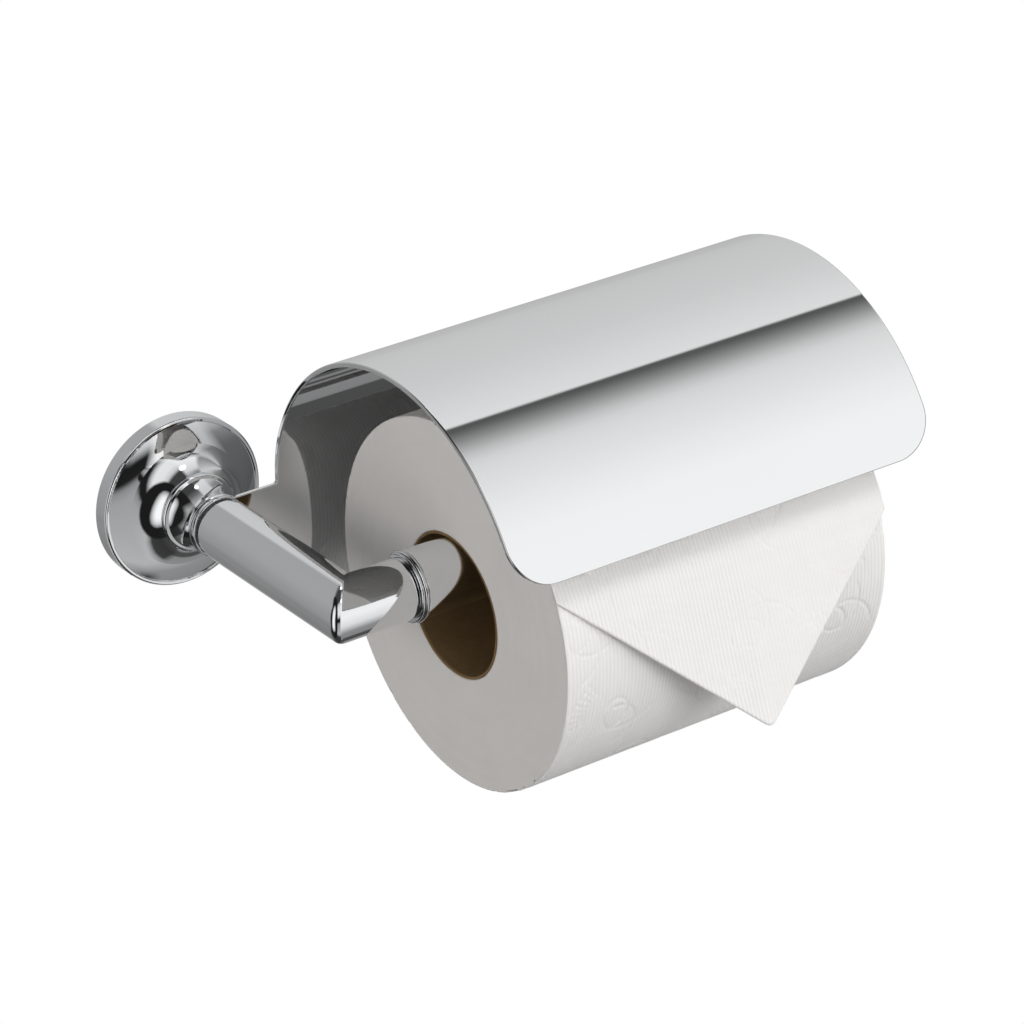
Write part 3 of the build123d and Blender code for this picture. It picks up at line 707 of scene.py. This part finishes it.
def make_tail(material):
    """One sheet that wraps on to the roll above, with its two lower corners folded behind."""
    dx, dv = RIB / 5, 0.36 * MM
    width, length = TAIL_FLAT
    x = np.linspace(X0 + SIDE_GAP, X1 - SIDE_GAP, int(width / dx) + 1)
    v = np.linspace(-WRAP * ROLL_R + TOP_GAP, FLAP - TIP_GAP, int(length / dv) + 1)
    xx, vv = np.meshgrid(x, v, indexing="xy")
    # the pattern is made for a longer sheet, so that it doesn't begin again at the tip
    press = emboss(width, length + 25 * MM, dx, dv, 23)[: len(x), : len(v)].T
    fx, fv, lift, past, (nx, nv, nw) = folded(xx, vv)
    climb = np.clip((vv + WRAP * ROLL_R) / (WRAP * ROLL_R), 0, 1)
    calm = 0.5 - 0.5 * np.cos(math.pi * climb)
    ease = np.clip(fv / FLAP, 0, 1)
    puff = 0.12 * MM * np.sin(fx * 95 + 1) * ease + 0.10 * MM * np.sin(fv * 160) * ease
    middle = LOW + LIFT * calm + FREE * np.clip(fv / (6 * MM), 0, 1)
    w = middle + puff + lift * np.clip((vv + 8 * MM) / (8 * MM), 0, 1)
    w = np.maximum(w, LOWEST)
    calm_fold = 1 - 0.75 * np.exp(-((past / (1.3 * MM)) ** 2))
    ribs = 0.055 * MM * (np.cos(2 * math.pi * (xx - X0) / RIB) - 1) - 0.20 * MM * press
    ribs = ribs * calm_fold
    sheets = []
    for offset, share in ((PLY / 2, 1), (-PLY / 2, 0.5)):
        push = offset + ribs * share
        sheets.append(tail_place(fx + nx * push, fv + nv * push, w + nw * push).reshape(-1, 3))
    rows, cols = xx.shape
    outer = grid_faces(rows, cols)
    inner = grid_faces(rows, cols, start=rows * cols)[:, ::-1]
    # the two plies are joined round the sheet's edge
    ring = [r * cols for r in range(rows)] + [(rows - 1) * cols + c for c in range(1, cols)]
    ring += [r * cols + cols - 1 for r in range(rows - 2, -1, -1)] + list(range(cols - 2, 0, -1))
    ring = np.array(ring)
    following = np.roll(ring, -1)
    wall = np.stack([ring, following, following + rows * cols, ring + rows * cols], -1)
    piece = array_piece("tail_sheet", np.concatenate(sheets), np.concatenate([outer, inner, wall]))
    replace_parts(dress(piece, material, "tail_carriage"), "paper_tail")


# ---------------------------------------------------------------- finishes, and all pieces made and dressed

chrome = metal("chrome_turned", (0.80, 0.81, 0.825), (0.86, 0.87, 0.88), (0.02, 0.06))
mirror = metal("chrome_sheet", (0.83, 0.84, 0.85), (0.87, 0.875, 0.88), (0.015, 0.05), 0.02,
               (40, 500, 500), 9)
zinc = metal("zinc_plate", (0.42, 0.43, 0.44), (0.62, 0.63, 0.64), (0.25, 0.5), 0.25, (300, 300, 40), 120)
brass = metal("brass_turned", (0.60, 0.42, 0.16), (0.75, 0.56, 0.25), (0.2, 0.4), 0.2, (900, 60, 900), 60)
nylon = metal("nylon_dark", (0.04, 0.04, 0.042), (0.07, 0.07, 0.075), (0.4, 0.6), 0.2, (300, 300, 300), 80,
              metallic=0.0)
tissue = paper_material("tissue", AXIS_Y, AXIS_Z)
kraft = cardboard_material("kraft_board")
FINISH = {"chrome": chrome, "hood_chrome": mirror, "zinc_steel": zinc, "brass": brass, "nylon": nylon,
          "tissue": tissue, "cardboard": kraft}

for name, node in frame["nodes"].items():
    slot_name = next(p["material_slot"] for p in frame["record"]["subparts"] if p["node"] == name)
    for index in range(len(node.material_slots)):
        node.material_slots[index].material = FINISH[slot_name]

make_hood(mirror)
make_elbow(chrome)
make_ring(chrome)
make_roll(tissue)
make_core(kraft)
make_tail(tissue)


# ---------------------------------------------------------------- camera

# a long lens at the upper front left, turned a little about its own axis
CAMERA_AT = (-0.52875, -0.95035, 0.52588)
camera = bpy.data.objects.new("camera", bpy.data.cameras.new("camera"))
bpy.context.scene.collection.objects.link(camera)
bpy.context.scene.camera = camera
back = Vector((-0.50443, -0.74113, 0.44302)).normalized()
level = Vector((0.82668, -0.56265, 0)).normalized()
tilt = math.radians(-2.1384)
right = math.cos(tilt) * level + math.sin(tilt) * back.cross(level)
rise = back.cross(right)
camera.matrix_world = Matrix.Translation(CAMERA_AT) @ Matrix((right, rise, back)).transposed().to_4x4()
camera.data.sensor_width = 36
camera.data.lens = 146.27
camera.data.clip_start, camera.data.clip_end = 0.01, 150


# ---------------------------------------------------------------- floor, studio and lights

def make_floor():
    """A white floor and, all round it, a white backdrop like a globe; only the camera sees them."""
    material = bpy.data.materials.new("studio_floor")
    material.use_nodes = True
    nodes, links = material.node_tree.nodes, material.node_tree.links
    nodes.clear()
    glow = nodes.new("ShaderNodeEmission")
    out = nodes.new("ShaderNodeOutputMaterial")
    glow.inputs[0].default_value = (1, 1, 1, 1)
    glow.inputs[1].default_value = 1.0
    links.new(glow.outputs[0], out.inputs[0])
    reach, drop, columns, levels = 5.0, -1.2, 32, 17
    corners = [(-reach, -reach, drop), (reach, -reach, drop), (-reach, reach, drop), (reach, reach, drop)]
    phi = around(columns)
    globe = [np.stack([reach * math.cos(t) * np.cos(phi), reach * math.cos(t) * np.sin(phi),
                       np.full(columns, reach * math.sin(t))], -1) for t in np.linspace(-1.56, 1.56, levels)]
    for name, verts, quads in (
        ("studio_floor", np.array(corners), np.array([[0, 1, 3, 2]])),
        ("studio_backdrop", np.array(globe).reshape(-1, 3), grid_faces(levels, columns, close_cols=True)),
    ):
        piece = array_piece(name, verts, quads)
        piece.data.materials.append(material)
        for ray in ("visible_glossy", "visible_diffuse", "visible_shadow", "visible_transmission"):
            setattr(piece, ray, False)


# What the polished metal mirrors, as (angle in degrees from straight ahead, up and over; grey level), for
# five slices of the room from left to right: a black curtain, the same curtain with a dim wall behind the
# holder, the dark room over a pale table, the studio with a long dark gap between two white screens, and the
# dim right.
FAR = ((-180, 0.012), (180, 0.012))
LEFT = (
    (-180, 0.33), (-160, 0.30), (-146, 0.22), (-134, 0.03), (-90, 0.012), (126, 0.012), (136, 0.18),
    (146, 0.37), (158, 0.37), (180, 0.33),
)
ROOM = (
    (-180, 0.32), (-150, 0.27), (-138, 0.20), (-126, 0.12), (-112, 0.06), (-90, 0.035), (-64, 0.045),
    (-57, 0.30), (-50, 0.46), (-30, 0.40), (-15, 0.36), (-9, 0.27), (-5, 0.014), (5, 0.012), (13, 0.55),
    (20, 0.82), (40, 0.80), (54, 0.60), (64, 0.05), (108, 0.05), (121, 0.14), (134, 0.36), (150, 0.38),
    (180, 0.32),
)
STUDIO = (
    (-180, 0.50), (-140, 0.36), (-112, 0.26), (-102, 0.07), (-86, 0.07), (-80, 0.23), (-58, 0.27),
    (-46, 0.48), (-30, 0.75), (0, 0.92), (35, 0.90), (49, 0.84), (63, 0.76), (67, 0.74), (73.5, 0.70),
    (77.5, 0.65), (82, 0.53), (86, 0.385), (90, 0.255), (94.5, 0.135), (98.4, 0.065), (99.3, 0.73),
    (107, 0.70), (121, 0.645), (136, 0.60), (150, 0.58), (165, 0.56), (180, 0.52),
)
RIGHT = (
    (-180, 0.15), (-110, 0.08), (-60, 0.12), (-22, 0.115), (6, 0.15), (40, 0.23), (76, 0.45), (98, 0.60),
    (120, 0.46), (140, 0.26), (180, 0.15),
)
WORLD_LEVEL = 1.12
# where one slice gives way to the next along the ray's x
SEAMS = ((-0.82, -0.70), (-0.46, -0.38), (0.13, 0.24), (0.62, 0.72))
# softboxes: direction, half width and half height in degrees, level
SOFTBOXES = (
    ((-0.985, -0.17, 0.04), 25, 44, 1.0),
    ((0.24, -0.48, 0.84), 7, 7, 2.2),
    ((0.19, 0.30, 0.93), 6, 6, 2.2),
)


def ramp_of(nodes, links, place, table):
    """One grey ramp; Blender holds 32 stops at most in each."""
    ramp = nodes.new("ShaderNodeValToRGB")
    links.new(place, ramp.inputs[0])
    stops = ramp.color_ramp.elements
    while len(stops) < len(table):
        stops.new(0.5)
    for stop, (angle, level) in zip(stops, table):
        stop.position = (angle + 180) / 360
        stop.color = (level, level, level, 1)
    return ramp.outputs[0]


def softbox(nodes, links, ray, aim, wide, tall):
    """How strongly a ray hits a rounded softbox: 1 in its middle, fading to 0 at its edge."""
    aim = Vector(aim).normalized()
    side = aim.cross(Vector((0, 0, 1))).normalized()
    rise = side.cross(aim)
    parts = []
    for axis, reach in ((side, wide), (rise, tall), (aim, 90)):
        dot = nodes.new("ShaderNodeVectorMath")
        dot.operation = "DOT_PRODUCT"
        links.new(ray, dot.inputs[0])
        dot.inputs[1].default_value = tuple(axis)
        parts.append(math_node(nodes, links, "DIVIDE", dot.outputs["Value"], math.sin(math.radians(reach))))
    across = math_node(nodes, links, "POWER", math_node(nodes, links, "ABSOLUTE", parts[0]), 2.0)
    along = math_node(nodes, links, "POWER", math_node(nodes, links, "ABSOLUTE", parts[1]), 4.0)
    near = ranged(nodes, links, math_node(nodes, links, "ADD", across, along), 1.0, 0.0, (0.08, 1.0))
    return math_node(nodes, links, "MULTIPLY", near, math_node(nodes, links, "GREATER_THAN", parts[2], 0.0))


def make_world():
    """The room as a world: grey ramps over the ray's angle, sliced by its x, with the softboxes on top."""
    world = bpy.data.worlds.new("studio")
    bpy.context.scene.world = world
    world.use_nodes = True
    nodes, links = world.node_tree.nodes, world.node_tree.links
    nodes.clear()
    ray = nodes.new("ShaderNodeTexCoord").outputs["Generated"]
    split = nodes.new("ShaderNodeSeparateXYZ")
    links.new(ray, split.inputs[0])
    x, y, z = split.outputs
    ahead = math_node(nodes, links, "MULTIPLY", y, -1.0)
    turn = math_node(nodes, links, "ARCTAN2", z, ahead)
    place = ranged(nodes, links, turn, 0.0, 1.0, (-math.pi, math.pi))
    colour = ramp_of(nodes, links, place, FAR)
    for table, seam in zip((LEFT, ROOM, STUDIO, RIGHT), SEAMS):
        share = ranged(nodes, links, x, 0.0, 1.0, seam)
        colour = mixed(nodes, links, share, colour, ramp_of(nodes, links, place, table))
    for aim, wide, tall, bright in SOFTBOXES:
        colour = mixed(nodes, links, softbox(nodes, links, ray, aim, wide, tall), colour, (bright,) * 3)
    background = nodes.new("ShaderNodeBackground")
    out = nodes.new("ShaderNodeOutputWorld")
    links.new(colour, background.inputs[0])
    background.inputs[1].default_value = WORLD_LEVEL
    links.new(background.outputs[0], out.inputs[0])


def area_light(name, place, target, size, power, color=(1, 1, 1)):
    """A round soft light; the polished metal doesn't mirror it, because the world holds what it mirrors."""
    data = bpy.data.lights.new(name, "AREA")
    data.shape = "ELLIPSE"
    data.size = data.size_y = size
    data.energy = power
    data.color = color
    light = bpy.data.objects.new(name, data)
    light.location = place
    light.rotation_mode = "QUATERNION"
    light.rotation_quaternion = (Vector(target) - Vector(place)).to_track_quat("-Z", "Y")
    light.visible_glossy = False
    light.visible_camera = False
    bpy.context.scene.collection.objects.link(light)


make_floor()
make_world()
ROLL_MIDDLE = (0.09, -0.11, 0)
area_light("top_key", (0.4, -1.05, 1.9), ROLL_MIDDLE, 0.7, 9)
area_light("front", (0.75, -1.8, 0.45), ROLL_MIDDLE, 1.0, 9.2)
area_light("low_front", (0.9, -1.4, -0.35), ROLL_MIDDLE, 0.9, 2.9)
area_light("fill", (-1.6, -0.5, 0.5), (0.03, -0.09, 0), 1.0, 6.4, color=(1, 0.955, 0.895))
bpy.context.scene.view_settings.view_transform = "Standard"
bpy.context.scene.view_settings.look = "None"
bpy.context.scene.cycles.use_denoising = True
